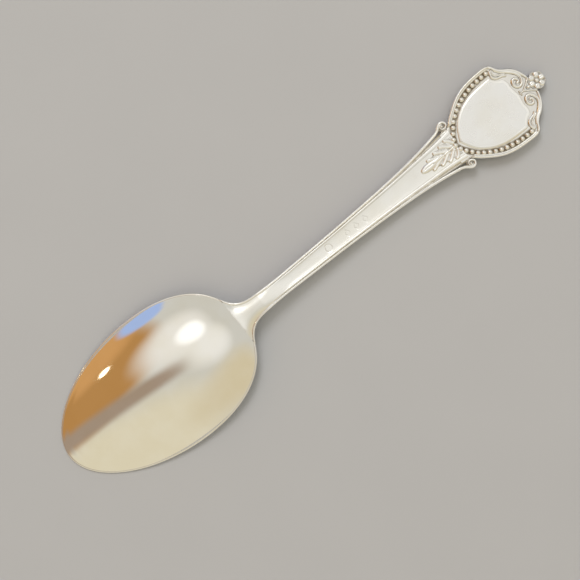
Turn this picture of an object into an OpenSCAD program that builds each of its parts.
// Souvenir spoon: polished egg-shaped bowl, tapered stem with border wires,
// and a beaded shield finial with a scrolled crest and a rosette.
//
// Millimetres. +X runs from the bowl's tip to the rosette, +Z is up.
// The spoon lies face down, as it is laid out to show its back: the bowl's rim
// and the shield's front face the table. The origin is at the bottom centre of
// the bounding box.

/* [Overall] */
// Length from the bowl's tip to the end of the rosette
spoon_len = 140; // [134:1:150]

/* [Bowl] */
// Width of the bowl at its widest
bowl_w = 32.4; // [30:0.2:35]
// Length of the egg-shaped outline, measured to where it would close at the heel
bowl_len = 51.5; // [50.5:0.1:52.5]
// Depth of the bowl's back above its rim
bowl_depth = 7; // [6.2:0.1:8]
// Wall thickness at the bottom of the bowl
bowl_wall = 1.2; // [0.9:0.1:1.5]
// Width of the flat land on the rim
rim_land = 0.9; // [0.6:0.1:1.2]
// How far the rim rises from the tip to the heel when it lies face down
heel_rise = 3.6; // [2.8:0.1:4.2]

/* [Stem] */
// Thickness of the stem at its middle
stem_t = 1.8; // [1.5:0.1:2.2]
// Width of the border wire on the narrow part of the stem
thread_w = 0.62; // [0.5:0.02:0.75]
// How far the border wire stands above the edge of the stem
thread_h = 0.24; // [0.15:0.01:0.3]

/* [Shield] */
// Width of the shield
shield_w = 20; // [18.5:0.5:22]
// Thickness of the shield's plate
plate_t = 1.3; // [1.1:0.1:1.5]
// Height of the raised ornament above the plate, on each face
relief = 0.45; // [0.38:0.01:0.5]
// Downward tilt of the shield towards its far end, degrees
shield_tilt = 2.4; // [1:0.1:3.5]

/* [Beads and rosette] */
// Diameter of one bead
bead_d = 0.97; // [0.8:0.01:1.1]
// Beads on each side of the middle bead
beads_per_side = 14; // [10:1:14]
// Petals of the rosette
petals = 6; // [5:1:7]

/* [Hidden] */
$fn = 48;

seam_x = 49.5;                    // bowl and neck meet here
neck_x = 57;                      // neck and straight stem meet here
root_x = spoon_len - 27.7;        // stem and shield meet here
half_w = bowl_w / 2;
arc_r = (half_w * half_w + bowl_depth * bowl_depth) / (2 * bowl_depth);
shield_k = shield_w / 20;
face_h = plate_t / 2;             // from the plate's middle to its face
top_h = face_h + relief;          // from the plate's middle to the ornament's top
rosette_x = 25.5;                 // from root_x to the rosette's centre
rosette_r = spoon_len - root_x - rosette_x;
petal_r = 0.75;                   // ball radius of a petal
petal_at = 1.32;                  // petals' distance from the rosette's centre
// Height of the shield's middle plane at root_x: the outermost petal touches the table
root_z = (rosette_x + petal_at) * sin(shield_tilt)
       + (top_h + 0.03 - petal_r) * cos(shield_tilt) + petal_r;

// ---------- curves ----------

// Chord slope at row i of a table of [position, value] rows
function slope(t, i) =
    let (a = max(i - 1, 0), b = min(i + 1, len(t) - 1))
    (t[b][1] - t[a][1]) / (t[b][0] - t[a][0]);
function row(t, x, i = 0) = (i >= len(t) - 2 || x < t[i + 1][0]) ? i : row(t, x, i + 1);
// Smooth curve through the rows
function curve(t, x) =
    let (i = row(t, x), h = t[i + 1][0] - t[i][0], u = (x - t[i][0]) / h,
         m = slope(t, i) * h, n = slope(t, i + 1) * h)
    t[i][1] * (2 * u * u * u - 3 * u * u + 1) + m * (u * u * u - 2 * u * u + u)
    + t[i + 1][1] * (3 * u * u - 2 * u * u * u) + n * (u * u * u - u * u);

// Unit vector, and the left-hand normal of a plan direction
function unit(v) = v / norm(v);
function left(v) = [-v[1], v[0]];
// Plan polyline shifted by d to its left
function shift(p, d) =
    [for (i = [0:len(p) - 1])
        p[i] + d * left(unit(p[min(i + 1, len(p) - 1)] - p[max(i - 1, 0)]))];
function back(p) = [for (i = [len(p) - 1:-1:0]) p[i]];
function flip(p) = [for (q = p) [q[0], -q[1]]];
// Point at distance s along a plan polyline
function along(p, s, i = 0) =
    let (d = norm(p[i + 1] - p[i]))
    (s <= d || i >= len(p) - 2) ? p[i] + (p[i + 1] - p[i]) * s / d : along(p, s - d, i + 1);
function length_of(p, i = 0) = i >= len(p) - 1 ? 0 : norm(p[i + 1] - p[i]) + length_of(p, i + 1);
// Round curve through plan points, n steps a span
function smooth(p, n = 4) =
    concat([for (i = [0:len(p) - 2]) for (k = [0:n - 1])
        let (u = k / n, a = p[max(i - 1, 0)], b = p[i], c = p[i + 1], d = p[min(i + 2, len(p) - 1)])
        0.5 * (2 * b + (c - a) * u + (2 * a - 5 * b + 4 * c - d) * u * u
               + (3 * b - a - 3 * c + d) * u * u * u)], [p[len(p) - 1]]);

// Skin over rings of points, closed by a fan to a first and a last point
module skin(first, rings, last) {
    n = len(rings[0]);
    m = len(rings);
    e = n * m + 1;
    polyhedron(
        concat([first], [for (r = rings) for (p = r) p], [last]),
        concat(
            [for (j = [0:n - 1]) [0, 1 + j, 1 + (j + 1) % n]],
            [for (i = [0:m - 2]) for (j = [0:n - 1])
                let (a = 1 + i * n + j, b = 1 + i * n + (j + 1) % n) [a, b + n, b]],
            [for (i = [0:m - 2]) for (j = [0:n - 1])
                let (a = 1 + i * n + j, b = 1 + i * n + (j + 1) % n) [a, a + n, b + n]],
            [for (j = [0:n - 1]) [e, 1 + (m - 1) * n + (j + 1) % n, 1 + (m - 1) * n + j]]));
}

// ---------- bowl ----------

// Square of the outline's half width as a share of the widest, at share q of the length
function egg(q) = q * (1 - q) * (3.1 + 2.24 * q - 2.7 * q * q + 3.2 * q * q * q);
function bowl_half(x) = half_w * sqrt(max(0, egg(x / bowl_len)));
// Height of the rim above the table
function rim_z(x) = heel_rise * pow(max(0, x - 5) / 46.5, 1.6);
// Height of the bowl's back above the rim: a round arc across, following the egg outline
function dome(x, y) =
    sqrt(max(0, arc_r * arc_r - half_w * half_w * (1 - egg(x / bowl_len)) - y * y)) - (arc_r - bowl_depth);

bowl_mid = 28;
side_n = 26;
cut_n = 4;
// Outline from the tip along +y to the heel cut and back along -y
side = [for (i = [0:side_n]) let (x = seam_x * (1 - cos(120 * i / side_n)) / 1.5) [x, bowl_half(x)]];
cut = [for (i = [1:cut_n]) [seam_x, bowl_half(seam_x) * (1 - 2 * i / (cut_n + 1))]];
outline = concat(side, cut, [for (i = [side_n:-1:1]) [side[i][0], -side[i][1]]]);
// Same, drawn in by the rim's land, except across the heel cut
inner_outline = [for (p = outline)
    let (s = (norm([p[0] - bowl_mid, p[1]]) - rim_land) / norm([p[0] - bowl_mid, p[1]]))
    p[0] >= seam_x - 0.001
        ? [seam_x, p[1] * (bowl_half(seam_x) - rim_land) / bowl_half(seam_x)]
        : [bowl_mid + (p[0] - bowl_mid) * s, p[1] * s]];

function bowl_ring(k, base, wall) =
    [for (j = [0:len(outline) - 1])
        let (x = bowl_mid + (base[j][0] - bowl_mid) * k, y = base[j][1] * k,
             xo = bowl_mid + (outline[j][0] - bowl_mid) * k, yo = outline[j][1] * k,
             h = max(0, dome(xo, yo)) * (bowl_depth - wall) / bowl_depth)
        [x, y, rim_z(x) + h]];

module bowl() {
    ks = [for (i = [1:13]) sin(90 * i / 13.0)];
    color([0.86, 0.85, 0.82])
    skin([bowl_mid, 0, rim_z(bowl_mid) + dome(bowl_mid, 0)],
         concat([for (k = ks) bowl_ring(k, outline, 0)],
                [for (i = [len(ks) - 1:-1:0]) bowl_ring(ks[i], inner_outline, bowl_wall)]),
         [bowl_mid, 0, rim_z(bowl_mid) + dome(bowl_mid, 0) * (bowl_depth - bowl_wall) / bowl_depth]);
}

// ---------- stem ----------

// Position along the stem: fixed up to the neck, then stretched to reach the shield
function sx(x) = x <= neck_x ? x : neck_x + (x - neck_x) * (root_x - neck_x) / 55.3;

half_table = [[49.5, 7.33], [50.2, 6.1], [51, 4.75], [52, 3.8], [53, 3.15], [54.5, 2.7], [57, 2.45],
              [62, 2.3], [68, 2.4], [74, 2.55], [80, 2.7], [86, 2.93], [92, 3.2], [97, 3.5],
              [102.5, 3.95], [108, 4.65], [112.3, 5.4]];
mid_table = [[57, 3.25], [62, 3.0], [70, 2.6], [80, 2.15], [90, 1.87], [98, 1.87], [104, 2.06],
             [109, root_z], [112.3, root_z]];
thick_table = [[57, stem_t + 0.6], [70, stem_t + 0.2], [90, stem_t], [104, stem_t - 0.2], [112.3, plate_t + 0.05]];
thread_table = [[49.5, thread_w + 0.4], [51, thread_w + 0.27], [52, thread_w + 0.11], [53, thread_w + 0.04],
                [54.5, thread_w], [57, thread_w], [90, thread_w + 0.03], [106, thread_w + 0.16], [112.3, thread_w + 0.18]];

// Turn a section point [y, z] at station x square to the stem's middle line
function mid_tilt(x) = x >= 112.2 ? -shield_tilt
    : atan((curve(mid_table, x + 0.5) - curve(mid_table, x - 0.5)) / 1.0);
function place(x, y, z) =
    let (a = mid_tilt(x))
    [sx(x) - z * sin(a), y, curve(mid_table, x) + z * cos(a)];

shares = [-1, -0.6, -0.2, 0.2, 0.6, 1];
// The bar's two faces are slightly dished along the middle, between the neck and the leaf
dish_rows = [[57, 0], [60, 0.04], [66, 0.14], [98, 0.14], [102, 0.03], [103.5, 0], [113, 0]];
function dished(x, s) = curve(dish_rows, x) * max(0, 1 - s * s / 0.36);
// Section between a crowned top and a crowned bottom, flat at its sides
function crowned(x, w, t, side_h) =
    let (h = [for (s = shares) side_h + (t / 2 - side_h) * (1 - s * s) - dished(x, s)], n = len(shares) - 1)
    concat([for (i = [0:n]) place(x, w * shares[i], h[i])],
           [for (i = [n:-1:0]) place(x, w * shares[i], -h[i])]);
function side_h(x) = 0.36 * curve(thick_table, x);
function core_half(x) = curve(half_table, x) - curve(thread_table, x);

// The neck grows out of the bowl's heel: from the bowl's own arc to the crowned bar
seam_rim = rim_z(seam_x);
seam_top = seam_rim + dome(seam_x, 0);
neck_rows = [[49.5, 0], [50.2, 0.3], [51, 0.52], [52, 0.7], [53.3, 0.86], [55, 0.97]];
neck_t = stem_t + 0.6;
function neck_mid(x) = 3.25 + 0.05 * (neck_x - x);
// Heights at x: crown and side of the upper face, side and crown of the lower face
function neck_z(x) =
    let (k = curve(neck_rows, x), m = neck_mid(x), e = 0.36 * neck_t)
    [(seam_top - 0.02) * (1 - k) + (m + neck_t / 2) * k, (seam_rim + 0.3) * (1 - k) + (m + e) * k,
     (seam_rim + 0.02) * (1 - k) + (m - e) * k, (seam_top - 1.1) * (1 - k) + (m - neck_t / 2) * k];
function neck_ring(x) =
    let (w = core_half(x), z = neck_z(x))
    concat([for (s = shares) [x, w * s, z[1] + (z[0] - z[1]) * (1 - s * s)]],
           [for (s = back(shares)) [x, w * s, z[2] + (z[3] - z[2]) * (1 - s * s)]]);
stations = [for (i = [0:22]) neck_x + 55.3 * i / 22];

module stem() {
    color([0.80, 0.79, 0.76])
    skin([seam_x, 0, seam_top - 0.5],
         concat([for (r = neck_rows) back(neck_ring(r[0]))],
                [for (x = stations) back(crowned(x, core_half(x), curve(thick_table, x), side_h(x)))]),
         place(112.3, 0, 0));
}

// Border wire on one edge: flat against the stem, rounded outside
function wire_ring(x, s) =
    let (w = curve(half_table, x), e = curve(thread_table, x), c = w - e, h = side_h(x),
         p = [[0, h], [0.18 * e, h + 0.7 * thread_h], [0.5 * e, h + thread_h], [0.85 * e, h + 0.5 * thread_h],
              [e, 0.5 * h], [e, -0.5 * h], [0.85 * e, -h - 0.5 * thread_h], [0.5 * e, -h - thread_h],
              [0.18 * e, -h - 0.7 * thread_h], [0, -h]])
    [for (q = s > 0 ? back(p) : p) place(x, s * (c + q[0]), q[1])];
// Along the neck the wire grows out of the bowl's lip
function neck_wire_ring(x, s) =
    let (k = curve(neck_rows, x), e = curve(thread_table, x), c = core_half(x), h = thread_h * k,
         t = neck_z(x)[1], b = neck_z(x)[2],
         p = [[0, t], [0.18 * e, t + 0.7 * h], [0.5 * e, t + h], [0.85 * e, t + 0.5 * h],
              [e, 0.75 * t + 0.25 * b], [e, 0.25 * t + 0.75 * b], [0.85 * e, b - 0.5 * h], [0.5 * e, b - h],
              [0.18 * e, b - 0.7 * h], [0, b]])
    [for (q = s > 0 ? back(p) : p) [x, s * (c + q[0]), q[1]]];
module thread(s) {
    color([0.88, 0.87, 0.84])
    skin([seam_x, s * (core_half(seam_x) + 0.4), seam_rim + 0.16],
         concat([for (r = neck_rows) neck_wire_ring(r[0], s)],
                [for (x = stations) wire_ring(x, s)]),
         place(112.3, s * (core_half(112.3) + 0.4), 0));
}

// Everything from here on lies in the shield's own plane, measured from root_x
module on_shield() { translate([root_x, 0, root_z]) rotate([0, shield_tilt, 0]) children(); }
module both_faces(z) { translate([0, 0, z]) children(); mirror([0, 0, 1]) translate([0, 0, z]) children(); }
module side_of(s) { if (s > 0) children(); else mirror([0, 1, 0]) children(); }

module shoulder_scroll(s) {
    color([0.85, 0.84, 0.80])
    on_shield() side_of(s)
    difference() {
        translate([1.5, 5.4, 0]) cylinder(r = 1.27, h = 2 * face_h + 0.5, center = true);
        translate([-5, 0, -5]) cube([5, 10, 10]);
        both_faces(face_h + 0.05) translate([1.5, 5.4, 0]) difference() {
            cylinder(r = 0.85, h = 1);
            translate([0, 0, -1]) cylinder(r = 0.42, h = 3);
        }
    }
}

// ---------- leaf ----------

leaf_half = [[-8.5, 0], [-7.8, 0.6], [-6.8, 0.85], [-6.2, 0.75], [-5.9, 1.3], [-5.5, 1.6], [-5.0, 1.25],
             [-4.3, 1.7], [-3.7, 2.1], [-3.2, 1.65], [-2.6, 2.0], [-2.1, 2.4], [-1.5, 1.95],
             [-0.6, 2.3], [0, 2.7], [0.5, 2.5], [0.75, 2.0], [0.75, 0]];
module leaf(s) {
    z0 = s > 0 ? curve(mid_table, 104) + curve(thick_table, 104) / 2 - 0.06
               : curve(mid_table, 104) - curve(thick_table, 104) / 2 + 0.06;
    color([0.78, 0.77, 0.73])
    translate([root_x, 0, z0]) mirror([0, 0, s > 0 ? 0 : 1]) {
        linear_extrude(0.5) polygon(concat(leaf_half, back(flip(leaf_half))));
        translate([-4.3, -0.35, 0]) cube([5, 0.7, 0.68]);
    }
}

// ---------- shield ----------

// Outline of one side, from the notch behind the shoulder scroll to the crest
wing = [[2.57, 4.43], [3.7, 5.55], [5, 6.55], [6.3, 7.45], [7.7, 8.3], [9.2, 9.0], [10.9, 9.5],
        [12.7, 9.8], [14.7, 9.95], [16.7, 10], [18, 9.85], [18.8, 9.45]];
crest = [[18.8, 9.45], [19.2, 8.9], [19.6, 8.2], [20.1, 7.5], [20.8, 6.9], [21.9, 6.2],
         [22.9, 5.3], [23.6, 4.2], [24.1, 2.9], [24.4, 2.2]];
// The line that the beads follow runs on past the notch to the shield's point
pearl_line = [[1.45, 0], [1.95, 1.38], [2.76, 2.53], [3.6, 3.56], [4.5, 4.6], [5.6, 5.4], [6.8, 6.2],
              [7.9, 6.78], [9.3, 7.36], [10.7, 7.77], [12.1, 8.09], [13.4, 8.32], [14.7, 8.41],
              [16, 8.46], [17.25, 8.46]];
panel_half = [[2.6, 0], [3.2, 1.2], [4.0, 2.6], [4.9, 3.75], [5.8, 4.6], [6.8, 5.3], [7.9, 5.95], [9.3, 6.5],
              [10.9, 6.95], [12.7, 7.2], [14.8, 7.3], [16.4, 7.3], [17.3, 7.15], [17.6, 6.6], [18.1, 5.9],
              [18.8, 5.4], [19.4, 5.1], [19.8, 4.5], [20.0, 3.4], [19.9, 2.3], [20.3, 0]];
function wide(p) = [for (q = p) [q[0], q[1] * shield_k]];

module plate_plan() {
    difference() {
        polygon(concat([[0, 0], [0, 4.1], [2.3, 4.1]], wide(wing), wide(crest), [[24.4, 0]],
                       back(flip(wide(crest))), back(flip(wide(wing))), [[2.3, -4.1], [0, -4.1]]));
        translate([rosette_x, 0]) circle(r = rosette_r);
        rim_plan();
        mirror([0, 1]) rim_plan();
    }
}
module rim_plan() { polygon(concat(wide(wing), back(shift(wide(wing), -0.85)))); }

module shield_plate() {
    color([0.80, 0.79, 0.75])
    on_shield() translate([0, 0, -face_h]) linear_extrude(plate_t) plate_plan();
}
module rim(s) {
    color([0.88, 0.87, 0.83])
    on_shield() side_of(s) {
        translate([0, 0, -top_h + 0.12]) linear_extrude(2 * top_h - 0.24) rim_plan();
        translate([0, 0, -top_h]) linear_extrude(2 * top_h)
            polygon(concat(shift(wide(wing), -0.2), back(shift(wide(wing), -0.62))));
    }
}

module beads() {
    line = wide(pearl_line);
    pitch = length_of(line) / 14;
    module bead(p) {
        translate([p[0], p[1], face_h]) intersection() {
            sphere(d = bead_d);
            translate([-1, -1, 0]) cube([2, 2, 2]);
        }
    }
    bead(line[0]);
    for (i = [1:beads_per_side]) {
        p = along(line, pitch * i);
        bead(p);
        bead([p[0], -p[1]]);
    }
}
module bead_row(s) {
    color([0.90, 0.88, 0.82])
    on_shield() mirror([0, 0, s > 0 ? 0 : 1]) beads();
}

panel_edge = concat(wide(panel_half), back([for (i = [1:len(panel_half) - 2]) flip(wide(panel_half))[i]]));
bezel_in = concat([[3.05, 0]], [for (i = [1:len(panel_half) - 2]) shift(wide(panel_half), -0.42)[i]], [[19.87, 0]]);
module bezel_plan() {
    difference() {
        polygon(panel_edge);
        polygon(concat(bezel_in, back([for (i = [1:len(bezel_in) - 2]) flip(bezel_in)[i]])));
    }
}
module panel_bezel(s) {
    color([0.84, 0.83, 0.79])
    on_shield() mirror([0, 0, s > 0 ? 0 : 1])
        translate([0, 0, face_h]) linear_extrude(0.32) bezel_plan();
}
module panel(s) {
    color([0.90, 0.89, 0.86])
    on_shield() mirror([0, 0, s > 0 ? 0 : 1])
        translate([0, 0, face_h]) linear_extrude(0.2) difference() {
            polygon(panel_edge);
            bezel_plan();
        }
}

// ---------- crest ----------

// A raised line of width w along plan points
module line_plan(p, w) { polygon(concat(shift(p, w / 2), back(shift(p, -w / 2)))); }

scroll_line = smooth([[19.1, 8.55], [19.5, 7.6], [20.4, 6.7], [21.6, 5.9], [22.5, 4.9], [23.1, 3.8], [23.1, 2.7],
                      [22.6, 1.9]], 3);
module crest_scroll(s) {
    color([0.86, 0.85, 0.81])
    on_shield() side_of(s) both_faces(face_h) {
        linear_extrude(relief) difference() {
            union() {
                line_plan(wide(scroll_line), 0.8);
                translate([21.7, 2.3 * shield_k]) circle(r = 1.15);
            }
            translate([rosette_x, 0]) circle(r = rosette_r);
            translate([21.7, 2.3 * shield_k]) circle(r = 0.5);
        }
        translate([21.7, 2.3 * shield_k, 0]) cylinder(r = 0.36, h = relief);
    }
}
corner_line = smooth([[18.45, 8.15], [18.1, 7.3], [18.25, 6.6], [18.9, 6.05], [19.9, 5.75], [20.6, 5.2]], 3);
module corner_leaf(s) {
    color([0.83, 0.82, 0.78])
    on_shield() side_of(s) both_faces(face_h)
        linear_extrude(0.38) line_plan(wide(corner_line), 0.5);
}
module calyx() {
    color([0.83, 0.82, 0.78])
    on_shield() both_faces(face_h) linear_extrude(0.4) difference() {
        polygon([[20.6, 0], [21.9, 0.75], [23.0, 0.95], [23.6, 2.1], [24.3, 2.1], [24.3, -2.1], [23.6, -2.1],
                 [23.0, -0.95], [21.9, -0.75]]);
        translate([rosette_x, 0]) circle(r = rosette_r);
        for (s = [-1, 1]) translate([21.7, s * 2.3 * shield_k]) circle(r = 1.16);
    }
}
module rosette() {
    color([0.86, 0.84, 0.80])
    on_shield() translate([rosette_x, 0, 0]) {
        difference() {
            cylinder(r = rosette_r, h = 2 * face_h + 0.3, center = true);
            for (i = [0:petals - 1]) rotate(360 * (i + 0.5) / petals)
                translate([rosette_r + 0.35, 0, -3]) cylinder(r = 0.5, h = 6, $fn = 24);
        }
        both_faces(0) for (i = [0:petals - 1]) rotate(360 * i / petals)
            translate([petal_at, 0, 0]) intersection() {
                translate([0, 0, top_h + 0.03 - petal_r]) sphere(r = petal_r);
                translate([-1, -1, face_h + 0.1]) cube([2, 2, 2]);
            }
    }
}
module rosette_boss() {
    color([0.88, 0.86, 0.82])
    on_shield() translate([rosette_x, 0, 0]) both_faces(face_h + 0.15) cylinder(r = 0.5, h = relief - 0.15);
}

translate([-spoon_len / 2, 0, 0]) {
    bowl();
    stem();
    thread(1);  // thread_left
    thread(-1);  // thread_right
    shoulder_scroll(1);  // shoulder_scroll_left
    shoulder_scroll(-1);  // shoulder_scroll_right
    leaf(1);  // leaf_back
    leaf(-1);  // leaf_front
    shield_plate();
    rim(1);  // rim_left
    rim(-1);  // rim_right
    bead_row(1);  // bead_row_back
    bead_row(-1);  // bead_row_front
    panel_bezel(1);  // panel_bezel_back
    panel_bezel(-1);  // panel_bezel_front
    panel(1);  // panel_back
    panel(-1);  // panel_front
    crest_scroll(1);  // crest_scroll_left
    crest_scroll(-1);  // crest_scroll_right
    corner_leaf(1);  // corner_leaf_left
    corner_leaf(-1);  // corner_leaf_right
    calyx();
    rosette();
    rosette_boss();
}
